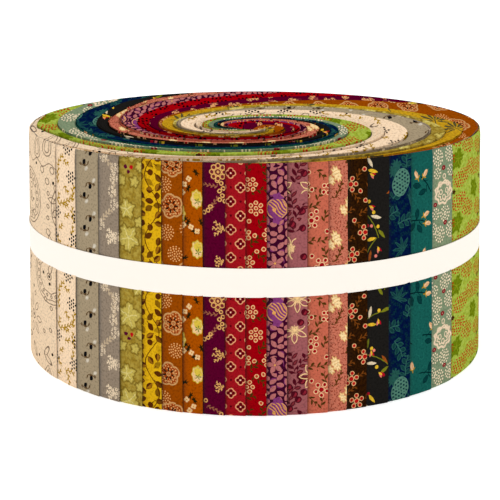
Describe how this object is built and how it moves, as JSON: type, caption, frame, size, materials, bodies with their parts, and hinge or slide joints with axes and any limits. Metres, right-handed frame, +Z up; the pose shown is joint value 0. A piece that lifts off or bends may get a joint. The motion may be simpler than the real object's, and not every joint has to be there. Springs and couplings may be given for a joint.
{
  "type": "roll of quilting fabric strips",
  "caption": "Drum-shaped roll of printed cotton quilting strips, wound in a spiral with lapped ends round the wall and held by a plain paper band.",
  "frame": {"origin": "centre of the underside, on the surface the roll stands on", "axes": "+Z up along the roll's axis, front of the roll towards -Y"},
  "size_m": [0.1294, 0.1293, 0.0635],
  "materials": {
    "printed_cotton": "printed plain-weave cotton in many colours, matt",
    "band_paper": "smooth ivory paper, matt"
  },
  "bodies": {
    "root": {"fabric_roll": "printed_cotton", "paper_band": "band_paper"}
  },
  "joints": []
}
